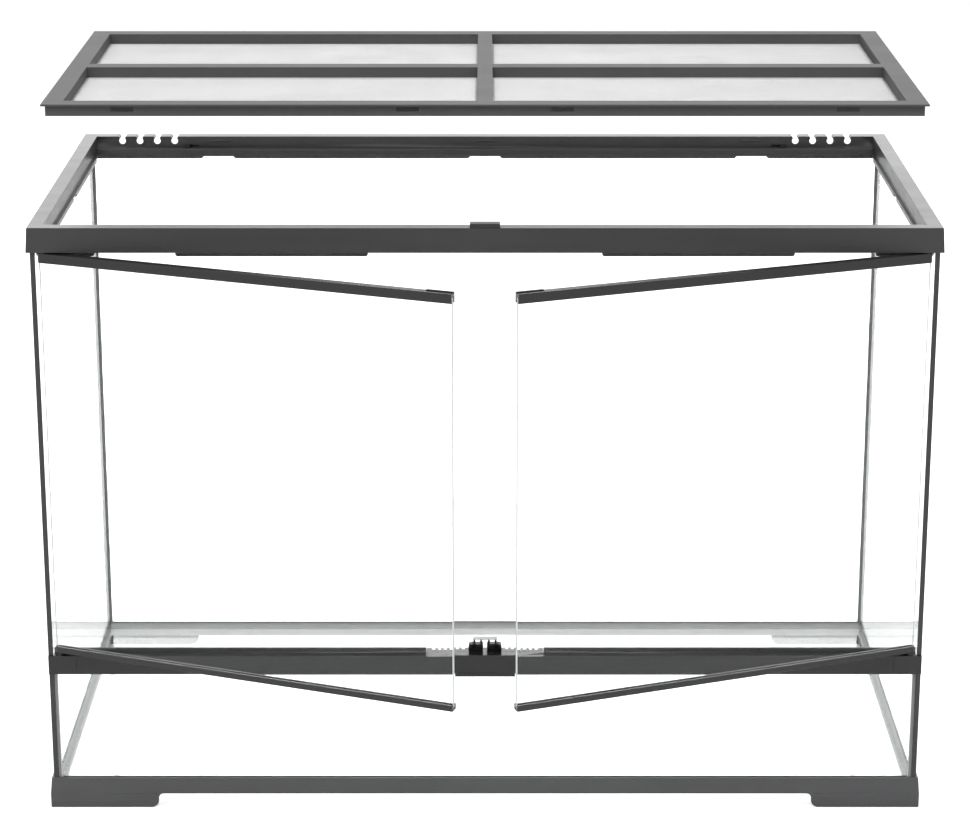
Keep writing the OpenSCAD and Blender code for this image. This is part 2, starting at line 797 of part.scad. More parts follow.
module left_door_bottom_rail() {
    color("#424244") left_door() rail(low_rail_z0, low_rail_z1, pane_low, low_rail_z1 + cut) {
        translate([0, 0, low_rail_z0 - cut])
            cylinder(r = pin_r, h = pane_low - pin_wall - low_rail_z0 + cut);
        rod_y(hinge_x - strike_x, strike_z, strike_r, rail_half - strike_in, rail_half + cut);
    }
}

// A low pad on the top rail that wedges under the frame when the door is shut
module left_door_bumper() {
    color("#1c1c1e") left_door() box([door_len - bumper_len, bumper_in, top_rail_z1],
        [door_len, rail_half - bumper_in, top_rail_z1 + bumper_h]);
}

module left_door_top_pin() {
    z0 = pane_high + pin_wall;
    color("silver") left_door() translate([0, 0, z0])
        cylinder(r = pin_r, h = top_bore_z1 - pin_end - z0);
}

module left_door_bottom_pin() {
    z0 = low_bore_z0 + pin_end;
    color("silver") left_door() translate([0, 0, z0])
        cylinder(r = pin_r, h = pane_low - pin_wall - z0);
}

module left_door_strike() {
    color("silver") left_door()
        rod_y(hinge_x - strike_x, strike_z, strike_r, rail_half - strike_in, rail_half + strike_out);
}

module right_door_glass() {
    mirror([1, 0, 0]) left_door_glass();
}

module right_door_top_rail() {
    mirror([1, 0, 0]) left_door_top_rail();
}

module right_door_bottom_rail() {
    mirror([1, 0, 0]) left_door_bottom_rail();
}

module right_door_bumper() {
    mirror([1, 0, 0]) left_door_bumper();
}

module right_door_top_pin() {
    mirror([1, 0, 0]) left_door_top_pin();
}

module right_door_bottom_pin() {
    mirror([1, 0, 0]) left_door_bottom_pin();
}

module right_door_strike() {
    mirror([1, 0, 0]) left_door_strike();
}

// ---- lid --------------------------------------------------------------------------------

// The lid's four windows, each grown by a margin
window_x = [lid_cross_bar / 2, lid_hw - lid_rim];
window_y = [lid_long_bar / 2, lid_hd - lid_rim];
module lid_windows(grow, z0, z1) {
    for (sx = [-1, 1], sy = [-1, 1]) {
        x = [for (e = window_x) sx * e];
        y = [for (e = window_y) sy * e];
        box([min(x) - grow, min(y) - grow, z0], [max(x) + grow, max(y) + grow, z1]);
    }
}

// The slots in the lid's skirt that face the snap tabs
module lid_slots() {
    skirt = lid_hd - flange;
    z0 = lid_top - tab_low - 3 * play;
    z1 = lid_top - tab_high + play;
    for (x = rear_tabs)
        box([x - tab_w / 2, skirt - lid_wall - cut, z0], [x + tab_w / 2, skirt + cut, z1]);
    for (x = front_tabs)
        box([x - tab_w / 2, -skirt - cut, z0], [x + tab_w / 2, lid_wall + cut - skirt, z1]);
}

module lid_frame() {
    hw = lid_hw - flange;
    hd = lid_hd - flange;
    color("#5f5f61") difference() {
        union() {
            box([-lid_hw, -lid_hd, lid_top - lid_wall], [lid_hw, lid_hd, lid_top]);
            box([-hw, -hd, lid_z0], [hw, hd, lid_top]);
        }
        lid_windows(-mesh_lip, lid_z0 - cut, lid_top);
        lid_windows(0, lid_z0 + mesh_floor, lid_top + cut);
        difference() {
            box([lid_wall - hw, lid_wall - hd, lid_z0 - cut],
                [hw - lid_wall, hd - lid_wall, lid_top - lid_wall]);
            lid_windows(lid_wall, lid_z0 - 2 * cut, lid_top);
        }
        lid_slots();
    }
}

// One sheet of mesh lies on the lips round its window
module lid_mesh(sx, sy) {
    gap = 0.1;
    x = [sx * (window_x[0] + gap), sx * (window_x[1] - gap)];
    y = [sy * (window_y[0] + gap), sy * (window_y[1] - gap)];
    z = lid_z0 + mesh_floor;
    color("#b4b8b8", 0.6) box([min(x), min(y), z], [max(x), max(y), z + mesh_t]);
}

module lid_mesh_front_left() {
    lid_mesh(-1, -1);
}

module lid_mesh_front_right() {
    lid_mesh(1, -1);
}

module lid_mesh_rear_left() {
    lid_mesh(-1, 1);
}

module lid_mesh_rear_right() {
    lid_mesh(1, 1);
}

base_frame();
floor_glass();
left_side_glass();
right_side_glass();
rear_glass();
front_lower_glass();
top_frame();
door_sill();
left_sill_cap();
right_sill_cap();
vent_grille();
left_edge_trim();
right_edge_trim();
rear_left_seal();
rear_right_seal();
front_left_seal();
front_right_seal();
floor_seal();
left_door_glass();
left_door_top_rail();
left_door_bottom_rail();
left_door_bumper();
left_door_top_pin();
left_door_bottom_pin();
left_door_strike();
right_door_glass();
right_door_top_rail();
right_door_bottom_rail();
right_door_bumper();
right_door_top_pin();
right_door_bottom_pin();
right_door_strike();
latch_plate();
left_latch_receiver();
right_latch_receiver();
latch_bridge();
latch_springs();
lid_frame();
lid_mesh_front_left();
lid_mesh_front_right();
lid_mesh_rear_left();
lid_mesh_rear_right();
lid_catch();
left_inlet_slider();
right_inlet_slider();
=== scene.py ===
import json
import math

import bmesh
import bpy
import numpy as np
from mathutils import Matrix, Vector

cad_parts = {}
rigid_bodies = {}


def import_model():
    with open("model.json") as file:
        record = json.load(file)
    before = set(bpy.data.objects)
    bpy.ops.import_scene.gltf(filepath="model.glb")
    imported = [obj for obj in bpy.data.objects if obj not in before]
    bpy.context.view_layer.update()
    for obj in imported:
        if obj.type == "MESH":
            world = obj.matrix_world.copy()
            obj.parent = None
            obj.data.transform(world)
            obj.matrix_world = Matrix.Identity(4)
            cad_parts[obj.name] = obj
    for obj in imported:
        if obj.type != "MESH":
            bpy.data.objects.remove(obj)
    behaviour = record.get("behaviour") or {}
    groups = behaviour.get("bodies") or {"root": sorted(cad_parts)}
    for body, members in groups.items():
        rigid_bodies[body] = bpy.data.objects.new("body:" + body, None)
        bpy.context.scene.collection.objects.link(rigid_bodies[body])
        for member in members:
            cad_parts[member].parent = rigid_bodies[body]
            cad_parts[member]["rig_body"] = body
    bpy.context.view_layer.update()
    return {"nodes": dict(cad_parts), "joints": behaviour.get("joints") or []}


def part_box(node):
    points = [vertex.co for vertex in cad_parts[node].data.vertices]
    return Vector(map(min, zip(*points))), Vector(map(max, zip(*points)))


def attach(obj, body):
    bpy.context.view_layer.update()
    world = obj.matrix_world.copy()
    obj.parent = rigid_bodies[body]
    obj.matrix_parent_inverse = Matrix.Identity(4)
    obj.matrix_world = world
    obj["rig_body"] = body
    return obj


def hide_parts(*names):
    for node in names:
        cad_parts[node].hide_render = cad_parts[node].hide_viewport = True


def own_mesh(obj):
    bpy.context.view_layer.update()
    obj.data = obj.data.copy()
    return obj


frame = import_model()
scene = bpy.context.scene
mm = 0.001

# ---- Studio -----------------------------------------------------------------------------------
# A white sweep in soft light from all round. Five softboxes stand at the left, at the right, above,
# behind, for a sheen on the upper faces, and high in front, for a light line along the upper edges.
# The camera stands 3 m before the cabinet's middle at twice its height, and looks down.

camera = bpy.data.objects.new("camera", bpy.data.cameras.new("camera"))
scene.collection.objects.link(camera)
scene.camera = camera
camera.location = (0.0, -3.058, 1.304)
looks_down = 17.2
camera.rotation_euler = (math.radians(90 - looks_down), 0.0, 0.0)
camera.data.lens = 109.5
camera.data.clip_end = 40.0
scene.view_settings.view_transform = "Standard"


class Socket:
    """An output of a node. Arithmetic on it adds Math nodes; add() makes any other node."""

    def __init__(self, tree, out=None):
        self.tree, self.out = tree, out

    def add(self, kind, settings=None, inputs=None, output=0):
        """A new node of that type: its settings are set first, then its sockets' values or links."""
        node = self.tree.nodes.new(kind)
        for name, value in (settings or {}).items():
            setattr(node, name, value)
        feed(node, inputs or {})
        return Socket(self.tree, node.outputs[output])

    def maths(self, operation, a, b):
        return self.add("ShaderNodeMath", {"operation": operation}, {0: a, 1: b})

    def __add__(self, other):
        return self.maths("ADD", self, other)

    __radd__ = __add__

    def __mul__(self, other):
        return self.maths("MULTIPLY", self, other)

    __rmul__ = __mul__


def feed(node, inputs):
    """Sets each named input of the node to a value, or links it to a Socket."""
    for name, value in inputs.items():
        if isinstance(value, Socket):
            node.id_data.links.new(value.out, node.inputs[name])
        else:
            node.inputs[name].default_value = value


def seen_or_mirrored(start):
    """1 for rays from the camera, off gloss and through glass, 0 for the light that falls on things."""
    path = start.add("ShaderNodeLightPath")
    rays = [Socket(start.tree, path.out.node.outputs[name])
            for name in ("Is Camera Ray", "Is Glossy Ray", "Is Transmission Ray")]
    return start.maths("MINIMUM", rays[0] + rays[1] + rays[2], 1.0)


def light_world(falling):
    """A plain white world that is seen at full white and lights things at the given strength."""
    world = bpy.data.worlds.new("studio")
    world.use_nodes = True
    scene.world = world
    start = Socket(world.node_tree)
    feed(world.node_tree.nodes["Background"], {
        "Color": (1.0, 1.0, 1.0, 1.0),
        "Strength": falling + seen_or_mirrored(start) * (1.0 - falling)})


def softbox(name, place, aim, size, power, height=None):
    """A flat area lamp at a place, turned towards the point that it is aimed at, with its power in
    watts. It is square unless its height is given."""
    lamp = bpy.data.objects.new(name, bpy.data.lights.new(name, "AREA"))
    scene.collection.objects.link(lamp)
    lamp.location = place
    lamp.rotation_euler = (Vector(aim) - Vector(place)).to_track_quat("-Z", "Y").to_euler()
    lamp.data.shape = "RECTANGLE"
    lamp.data.size = size
    lamp.data.size_y = height or size
    lamp.data.energy = power


def lay_floor(half_side):
    """A wide white floor. It keeps shadows, and a little light of its own takes it to full white."""
    mesh = bpy.data.meshes.new("floor")
    h = half_side
    mesh.from_pydata([(-h, -h, 0), (h, -h, 0), (h, h, 0), (-h, h, 0)], [], [(0, 1, 2, 3)])
    floor = bpy.data.objects.new("floor", mesh)
    scene.collection.objects.link(floor)
    material = bpy.data.materials.new("white_floor")
    material.use_nodes = True
    mesh.materials.append(material)
    shader = material.node_tree.nodes["Principled BSDF"]
    feed(shader, {
        "Base Color": (0.86, 0.86, 0.86, 1.0), "Roughness": 0.9, "Specular IOR Level": 0.1,
        "Emission Color": (1.0, 1.0, 1.0, 1.0),
        "Emission Strength": seen_or_mirrored(Socket(material.node_tree)) * 0.3})


light_world(falling=0.72)
softbox("key", place=(-2.4, -2.6, 3.0), aim=(0.0, 0.0, 0.4), size=2.2, power=45.0)
softbox("fill", place=(3.0, -2.0, 1.8), aim=(0.0, 0.0, 0.4), size=1.8, power=15.0)
softbox("overhead", place=(0.0, 0.6, 3.4), aim=(0.0, 0.1, 0.5), size=2.6, power=60.0)
softbox("back", place=(0.0, 3.0, 1.5), aim=(0.0, 0.0, 0.5), size=3.6, height=2.0, power=48.0)
softbox("edges", place=(0.0, -1.5, 3.0), aim=(0.0, 0.0, 0.3), size=2.4, height=0.7, power=45.0)
lay_floor(half_side=9.0)

# ---- Base frame --------------------------------------------------------------------------------
# The low frame that the whole cabinet stands on, with a foot at each corner: one injection moulding
# in charcoal plastic, with slightly rounded edges and a fine grain from the mould.


def start_material(name):
    """A new material, its Principled node, and the Object coordinates as a Socket."""
    material = bpy.data.materials.new(name)
    material.use_nodes = True
    coords = Socket(material.node_tree).add("ShaderNodeTexCoord", output="Object")
    return material, material.node_tree.nodes["Principled BSDF"], coords


def noise(coords, scale, detail=2.0, stretch=(1.0, 1.0, 1.0), turn=0.0):
    """Noise from 0 to 1. Its pattern is finer along an axis that the stretch is larger on."""
    mapped = coords.add("ShaderNodeMapping", inputs={
        "Vector": coords, "Rotation": (0.0, 0.0, turn), "Scale": stretch})
    return coords.add("ShaderNodeTexNoise",
                      inputs={"Vector": mapped, "Scale": scale, "Detail": detail})


def blend_colours(factor, a, b):
    """Colour a where the factor is 0, b where it is 1."""
    return factor.add("ShaderNodeMix", {"data_type": "RGBA"}, {0: factor, 6: (*a, 1.0), 7: (*b, 1.0)},
                      output=2)


def bump(height, depth, strength):
    """A normal from a height of 0 to 1 that stands for that depth in metres."""
    return height.add("ShaderNodeBump", inputs={
        "Height": height, "Distance": depth, "Strength": strength})


def moulded_plastic(name, colour, roughness, turn=0.0, gloss=0.25):
    """Satin plastic: clouds of a few per cent in its colour, a fine grain, and faint lengthwise
    flow marks that show in the gloss. Both vary the roughness round the value given."""
    material, shader, coords = start_material(name)
    cloud = noise(coords, scale=9.0)
    flow = noise(coords, scale=40.0, stretch=(0.15, 1.0, 1.0), turn=turn)
    grain = noise(coords, scale=2200.0)
    dark = tuple(0.9 * c for c in colour)
    pale = tuple(1.1 * c for c in colour)
    feed(shader, {
        "Base Color": blend_colours(cloud, dark, pale),
        "Roughness": roughness - 0.08 + flow * 0.1 + grain * 0.06,
        "Specular IOR Level": gloss,
        "Normal": bump(grain, depth=0.03 * mm, strength=0.35)})
    return material


def smooth_regions(bm, sharp):
    """Numbers the faces so that two share a number when no sharp edge parts them."""
    region = {}
    for first in bm.faces:
        if first in region:
            continue
        number = len(region)
        stack = [first]
        region[first] = number
        while stack:
            for edge in stack.pop().edges:
                if edge in sharp:
                    continue
                for face in edge.link_faces:
                    if face not in region:
                        region[face] = number
                        stack.append(face)
    return region


def round_edges(mesh, radius, segments=3):
    """Merges the mesh's loose triangles into flat faces, cuts those that are hollow or have holes
    into convex ones, and rounds the outer edges. An edge of a region that is hardly wider than
    twice the radius, or narrower, stays as it is. The width is twice the area over the outline."""
    weld_within = 0.002 * mm
    flat_within = math.radians(0.4)
    sharp_from = math.radians(28)
    shaded_sharp_from = math.radians(38)
    least_width = 2.1 * radius
    bm = bmesh.new()
    bm.from_mesh(mesh)
    bmesh.ops.remove_doubles(bm, verts=bm.verts, dist=weld_within)
    bmesh.ops.dissolve_limit(bm, angle_limit=flat_within, verts=bm.verts, edges=bm.edges)
    bmesh.ops.connect_verts_concave(bm, faces=[f for f in bm.faces if len(f.verts) > 4])
    sharp = {e for e in bm.edges if len(e.link_faces) == 2 and e.calc_face_angle() > sharp_from}
    region = smooth_regions(bm, sharp)
    area, outline = {}, {}
    for face, number in region.items():
        area[number] = area.get(number, 0.0) + face.calc_area()
    for edge in sharp:
        for face in edge.link_faces:
            outline[region[face]] = outline.get(region[face], 0.0) + edge.calc_length()
    wide = {n for n in area if 2 * area[n] > least_width * outline.get(n, 1e-9)}
    rounded = [e for e in sharp
               if e.is_convex and all(region[f] in wide for f in e.link_faces)]
    bmesh.ops.bevel(bm, geom=rounded, offset=radius, offset_type="OFFSET", segments=segments,
                    profile=0.5, affect="EDGES", clamp_overlap=False)
    bm.to_mesh(mesh)
    bm.free()
    mesh.shade_smooth()
    mesh.set_sharp_from_angle(angle=shaded_sharp_from)


def finish_piece(piece, node, slot, *materials):
    """Gives a piece its materials, and puts it in the place of a CAD node."""
    piece.data.materials.clear()
    for material in materials:
        piece.data.materials.append(material)
    scene.collection.objects.link(piece)
    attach(piece, frame["nodes"][node]["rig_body"])
    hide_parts(node)
    return piece


def moulding(node, radius, slot, material):
    """The CAD node's shape as a moulding, with its edges rounded to the radius."""
    mesh = frame["nodes"][node].data.copy()
    round_edges(mesh, radius)
    piece = finish_piece(bpy.data.objects.new(node + "_moulding", mesh), node, slot, material)
    piece.modifiers.new("even_normals", "WEIGHTED_NORMAL").keep_sharp = True
    return piece


base_plastic = moulded_plastic("base_plastic", (0.054, 0.054, 0.056), roughness=0.30)
moulding("base_frame", 0.9 * mm, "base_plastic", base_plastic)

# ---- Panes -------------------------------------------------------------------------------------
# Five sheets of clear float glass in the box and one in each door. The sheets are 5 mm thick, and
# 4 mm in the doors. Their edges are ground to a small chamfer and look pale and frosted.


def let_lamps_through(material, clear):
    """Lets light pass on its way from a lamp, tinted a little, so that glass casts no dark shadow."""
    tree = material.node_tree
    start = Socket(tree)
    glass = Socket(tree, tree.nodes["Principled BSDF"].outputs[0])
    path = start.add("ShaderNodeLightPath", output="Is Shadow Ray")
    open_air = start.add("ShaderNodeBsdfTransparent", inputs={"Color": clear})
    mixed = start.add("ShaderNodeMixShader", inputs={0: path, 1: glass, 2: open_air})
    feed(tree.nodes["Material Output"], {"Surface": mixed})


def float_glass(name, mirror):
    """Clear polished glass. Plain glass mirrors in full, at 1.0, and coated glass less."""
    material, shader, _ = start_material(name)
    feed(shader, {"Base Color": (0.985, 0.995, 0.99, 1.0), "Roughness": 0.0, "IOR": 1.5,
                  "Transmission Weight": 1.0, "Specular Tint": (mirror, mirror, mirror, 1.0)})
    let_lamps_through(material, (0.95, 0.97, 0.96, 1.0))
    return material


def seamed_edge():
    """A ground edge: pale, frosted glass that lets a little light through, with fine grinding marks
    up and down."""
    material, shader, coords = start_material("seamed_glass_edge")
    marks = noise(coords, scale=900.0, stretch=(1.0, 1.0, 0.05))
    feed(shader, {
        "Base Color": blend_colours(marks, (0.54, 0.56, 0.555), (0.64, 0.66, 0.655)),
        "Roughness": 0.5 + marks * 0.15, "IOR": 1.5, "Transmission Weight": 0.3})
    let_lamps_through(material, (0.8, 0.83, 0.82, 1.0))
    return material


box_glass = float_glass("float_glass", mirror=1.0)
glass_edge = seamed_edge()


def pane(node, glass, ends=None):
    """A sheet of glass with chamfered edges: its two largest faces are clear, the rest is its edge.
    Its left and right ends can have a material of their own."""
    chamfer = 0.4 * mm
    mesh = frame["nodes"][node].data.copy()
    round_edges(mesh, chamfer, segments=1)
    mesh.shade_flat()
    areas = np.array([p.area for p in mesh.polygons])
    slots = (areas < 0.5 * areas.max()).astype(np.int32)
    slots[[ends is not None and abs(p.normal.x) > 0.5 for p in mesh.polygons]] = 2
    finish_piece(bpy.data.objects.new(node + "_pane", mesh), node, "clear_glass",
                 glass, glass_edge, *([ends] if ends else []))
    mesh.polygons.foreach_set("material_index", slots)


for sheet in ("floor", "left_side", "right_side", "front_lower"):
    pane(sheet + "_glass", box_glass)

# ---- Silicone ----------------------------------------------------------------------------------
# The panes are joined with silicone. The rear pane's ends are bedded in it, and a hollow-faced bead
# drawn by hand, of wandering width, runs up the rear corners and round the floor. The joints beside
# the lower front pane are dark grey.

bead_steps = 6


def bead_mesh(name, corner, leg_a, leg_b, closed):
    """A bead along a line of corner points: leg_a and leg_b hold, for each point, the bead's width
    along its two walls, as vectors. The face between them is a hollow quarter circle:
    corner + leg_a * (1 - sin t) + leg_b * (1 - cos t), t from 0 to a quarter turn."""
    t = np.linspace(0.0, np.pi / 2, bead_steps + 1)[None, :, None]
    face = corner[:, None] + leg_a[:, None] * (1 - np.sin(t)) + leg_b[:, None] * (1 - np.cos(t))
    rings = np.concatenate([corner[:, None], face], axis=1)
    n, m = rings.shape[:2]
    i = np.arange(n if closed else n - 1)[:, None]
    j = np.arange(m)[None]
    a, b = i * m + j, i * m + (j + 1) % m
    c, d = (i + 1) % n * m + (j + 1) % m, (i + 1) % n * m + j
    faces = np.stack([a, b, c, d], axis=-1).reshape(-1, 4).tolist()
    if not closed:
        faces += [list(range(m))[::-1], [(n - 1) * m + k for k in range(m)]]
    mesh = bpy.data.meshes.new(name)
    mesh.from_pydata(rings.reshape(-1, 3).tolist(), [], faces)
    bm = bmesh.new()
    bm.from_mesh(mesh)
    bmesh.ops.recalc_face_normals(bm, faces=bm.faces)
    bm.to_mesh(mesh)
    bm.free()
    mesh.shade_smooth()
    mesh.set_sharp_from_angle(angle=math.radians(50))
    return mesh


def wander(along, seed, size):
    """A slow waviness along a length in metres: three sines of 23 to 90 mm, from -size to +size."""
    turns = np.random.default_rng(seed).uniform(0, 2 * np.pi, 3)
    waves = [np.sin(2 * np.pi * along / w + turn) for w, turn in zip((0.09, 0.041, 0.023), turns)]
    return size * np.sum(waves, axis=0) / 3


def silicone(name, dark, pale, through):
    """Soft silicone with a slight skin on it; the clear kind lets some light through."""
    material, shader, coords = start_material(name)
    skin = noise(coords, scale=300.0, detail=3.0)
    feed(shader, {
        "Base Color": blend_colours(noise(coords, scale=60.0), dark, pale),
        "Roughness": 0.3 + skin * 0.15,
        "Normal": bump(skin, depth=0.1 * mm, strength=0.4),
        "Transmission Weight": through,
        "IOR": 1.41})
    return material


# Where it lies wide along the rear of the floor, its pale colour is partly a painted reflection.
clear_silicone = silicone("clear_silicone", (0.50, 0.505, 0.505), (0.60, 0.605, 0.605), through=0.4)
core_silicone = silicone("core_silicone", (0.17, 0.175, 0.172), (0.22, 0.225, 0.222), through=0.0)
smoky_silicone = silicone("smoky_silicone", (0.10, 0.105, 0.102), (0.13, 0.135, 0.132), through=0.0)
grey_silicone = silicone("grey_silicone", (0.12, 0.12, 0.118), (0.18, 0.18, 0.177), through=0.0)
pane("rear_glass", box_glass, smoky_silicone)


def corner_bead(node, inwards, seed):
    """The upright bead in a rear corner: from its corner point it reaches inwards, to +x or -x, along
    the rear pane, and forwards along the side pane."""
    low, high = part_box(node)
    middle, play = 0.93, 0.07
    z = np.linspace(low.z, high.z, 120)
    x = low.x if inwards > 0 else high.x
    corner = np.stack([np.full_like(z, x), np.full_like(z, high.y), z], axis=1)
    width = (high.x - low.x) * (middle + wander(z, seed, play))[:, None]
    mesh = bead_mesh(node, corner, width * np.array([[inwards, 0, 0]]), width * np.array([[0, -1, 0]]),
                     closed=False)
    finish_piece(bpy.data.objects.new(node + "_bead", mesh), node, "clear_silicone", smoky_silicone)


def floor_bead():
    """The bead round the floor pane, mitred where two sides meet. It was pulled along in short
    strokes, which left a row of teeth in its edge: its width on the floor is leg * (0.8 + 0.7 * saw),
    and a slow wander. Along the rear it is wide, nearly even, and pale on the floor: partly the real
    bead, partly a painted reflection of the backdrop on the base's ledge under the floor pane."""
    low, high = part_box("floor_seal")
    leg = high.z - low.z
    step, stroke = 2 * mm, 11 * mm
    wall_leg, rear_sheen_leg = 8 * mm, 19 * mm
    corners = np.array([(low.x, low.y), (high.x, low.y), (high.x, high.y), (low.x, high.y)])
    inwards = np.array([(1, 1), (-1, 1), (-1, -1), (1, -1)], float)
    points, legs, along = [], [], []
    for k in range(4):
        start, end = corners[k], corners[(k + 1) % 4]
        span = np.linalg.norm(end - start)
        s = np.arange(0, 1, step / span)[:, None]
        points.append(start + s * (end - start))
        normal = (inwards[k] + inwards[(k + 1) % 4]) / 2
        legs.append(np.where(s == 0, inwards[k], normal))
        along.append(s[:, 0] * span + k)
    points, legs, along = np.concatenate(points), np.concatenate(legs), np.concatenate(along)
    corner = np.column_stack([points, np.full(len(points), low.z)])
    saw = np.mod(along / stroke, 1.0)
    smear = leg * (0.8 + 0.7 * saw + wander(along, seed=7, size=0.1))
    # Along the rear, the wide pale band is partly real bead, partly a painted reflection on the ledge.
    rear = points[:, 1] > high.y - step / 4
    deep = np.where(rear, rear_sheen_leg + 0.3 * smear, smear)
    on_floor = np.column_stack([smear * legs[:, 0], deep * legs[:, 1], np.zeros(len(legs))])
    up_wall = np.tile([0.0, 0.0, wall_leg], (len(points), 1))
    mesh = bead_mesh("floor_seal", corner, on_floor, up_wall, closed=True)
    finish_piece(bpy.data.objects.new("floor_seal_bead", mesh), "floor_seal", "clear_silicone",
                 clear_silicone, core_silicone)
    strips = bead_steps + 2
    # At the rear, pale silicone covers half the face: partly painted reflection on the base's ledge.
    first_grey = np.where(rear, strips // 2, 1)
    grey = np.arange(len(mesh.polygons)) % strips >= np.repeat(first_grey, strips)
    mesh.polygons.foreach_set("material_index", grey.astype(np.int32))


corner_bead("rear_left_seal", inwards=1, seed=3)
corner_bead("rear_right_seal", inwards=-1, seed=4)
floor_bead()
for side in ("left", "right"):
    moulding(f"front_{side}_seal", 0.4 * mm, "black_silicone", grey_silicone)

# ---- Edge trims --------------------------------------------------------------------------------
# A thin black plastic strip covers the front edge of each side pane, pressed on between the base
# frame and the top frame.

black_strip = moulded_plastic("black_strip", (0.030, 0.030, 0.031), roughness=0.4)
for side in ("left", "right"):
    moulding(side + "_edge_trim", 0.3 * mm, "charcoal_plastic", black_strip)

# ---- Top frame ---------------------------------------------------------------------------------
# One moulding holds the panes together at the top: rim, seat for the lid, snap tabs, cable inlets
# in the rear corners and the lips that stop the doors. It is a shade darker than the base.

frame_plastic = moulded_plastic("frame_plastic", (0.032, 0.032, 0.033), roughness=0.36)
moulding("top_frame", 0.45 * mm, "charcoal_plastic", frame_plastic)

# ---- Inlet sliders -----------------------------------------------------------------------------
# A toothed black strip slides in a slot behind each group of cable inlets and closes them. Only its
# teeth and its finger tab show.

slider_plastic = moulded_plastic("slider_plastic", (0.018, 0.018, 0.019), roughness=0.38)
for side in ("left", "right"):
    moulding(side + "_inlet_slider", 0.2 * mm, "charcoal_plastic", slider_plastic)

# ---- Sill --------------------------------------------------------------------------------------
# The bar that is clipped over the lower front pane, with a cap at each end that carries a door's
# lower pivot, and a slotted vent deck behind its middle.

sill_plastic = moulded_plastic("sill_plastic", (0.010, 0.010, 0.0105), roughness=0.24, gloss=0.3)
moulding("door_sill", 0.4 * mm, "charcoal_plastic", sill_plastic)
for side in ("left", "right"):
    moulding(side + "_sill_cap", 0.4 * mm, "charcoal_plastic", sill_plastic)
moulding("vent_grille", 0.25 * mm, "charcoal_plastic", sill_plastic)

# ---- Latch -------------------------------------------------------------------------------------
# A plate in the sill's pocket that is pressed in against two coil springs. Two black blocks on its
# tongue hold the doors' pegs, and a grey plate on four studs ties them together.

plate_plastic = moulded_plastic("plate_plastic", (0.006, 0.006, 0.0063), roughness=0.24, gloss=0.3)
block_plastic = moulded_plastic("block_plastic", (0.004, 0.004, 0.0045), roughness=0.24, gloss=0.12)
grey_plastic = moulded_plastic("grey_plastic", (0.26, 0.265, 0.27), roughness=0.4)
moulding("latch_plate", 0.3 * mm, "charcoal_plastic", plate_plastic)
for side in ("left", "right"):
    moulding(side + "_latch_receiver", 0.3 * mm, "black_plastic", block_plastic)
moulding("latch_bridge", 0.25 * mm, "grey_plastic", grey_plastic)


def drawn_steel():
    """Bright steel wire with fine upright marks from the die."""
    material, shader, coords = start_material("drawn_steel")
    marks = noise(coords, scale=1500.0, stretch=(1.0, 1.0, 0.1))
    feed(shader, {
        "Base Color": blend_colours(marks, (0.52, 0.52, 0.54), (0.68, 0.68, 0.70)),
        "Metallic": 1.0,
        "Roughness": 0.22 + marks * 0.12})
    return material


steel = drawn_steel()


def tube_mesh(name, lines, radius, sides):
    """Tubes along lines of points, all with as many points: lines is (tubes, points, 3). Each ring
    lies square to its line: centre + radius * (cos a * across + sin a * up)."""
    tubes, count = lines.shape[:2]
    along = np.gradient(lines, axis=1)
    along /= np.linalg.norm(along, axis=2, keepdims=True)
    helper = np.where(np.abs(along[..., 2:]) > 0.8, np.array([1.0, 0, 0]), np.array([0, 0, 1.0]))
    across = np.cross(along, helper)
    across /= np.linalg.norm(across, axis=2, keepdims=True)
    up = np.cross(across, along)
    a = 2 * np.pi * np.arange(sides)[:, None] / sides
    rings = lines[:, :, None] + radius * (across[:, :, None] * np.cos(a) + up[:, :, None] * np.sin(a))
    tube = np.arange(tubes)[:, None, None] * count * sides
    i = np.arange(count - 1)[None, :, None] * sides
    j, k = np.arange(sides)[None, None], (np.arange(sides)[None, None] + 1) % sides
    quads = np.stack(np.broadcast_arrays(tube + i + j, tube + i + k, tube + i + sides + k,
                                         tube + i + sides + j), axis=-1).reshape(-1, 4)
    first = np.arange(tubes)[:, None] * count * sides + np.arange(sides)[None]
    ends = np.concatenate([first[:, ::-1], first + (count - 1) * sides])
    mesh = bpy.data.meshes.new(name)
    mesh.from_pydata(rings.reshape(-1, 3).tolist(), [], quads.tolist() + ends.tolist())
    mesh.shade_smooth()
    mesh.set_sharp_from_angle(angle=math.radians(65))
    return mesh


def latch_springs():
    """Two coils: x and z go round a circle while y runs from the front to the rear."""
    low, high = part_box("latch_springs")
    wire_radius, turns, steps_a_turn = 0.25 * mm, 3, 20
    radius = (high.z - low.z) / 2 - wire_radius
    middle = high.x - radius - wire_radius
    a = np.linspace(0, 2 * np.pi * turns, steps_a_turn * turns + 1)
    y = low.y + wire_radius + (high.y - low.y - 2 * wire_radius) * a / a[-1]
    z = (low.z + high.z) / 2 + radius * np.sin(a)
    coils = np.stack([np.stack([x + radius * np.cos(a), y, z], axis=1) for x in (-middle, middle)])
    mesh = tube_mesh("latch_spring_coils", coils, wire_radius, sides=8)
    piece = finish_piece(bpy.data.objects.new("latch_spring_coils", mesh), "latch_springs",
                         "steel_pin", steel)
    travel = next(j["range_m"][1] for j in frame["joints"] if j["name"] == "latch_press")
    1 - travel / (high.y - low.y)
    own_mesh(piece)


latch_springs()

# ---- Doors -------------------------------------------------------------------------------------
# Each door is a pane in two channelled rails, and stands open at an angle, as in the photo. It turns
# on a steel pin at the top and one at the bottom. A peg in the bottom rail meets the latch, and a
# pad on the top rail stops the door.

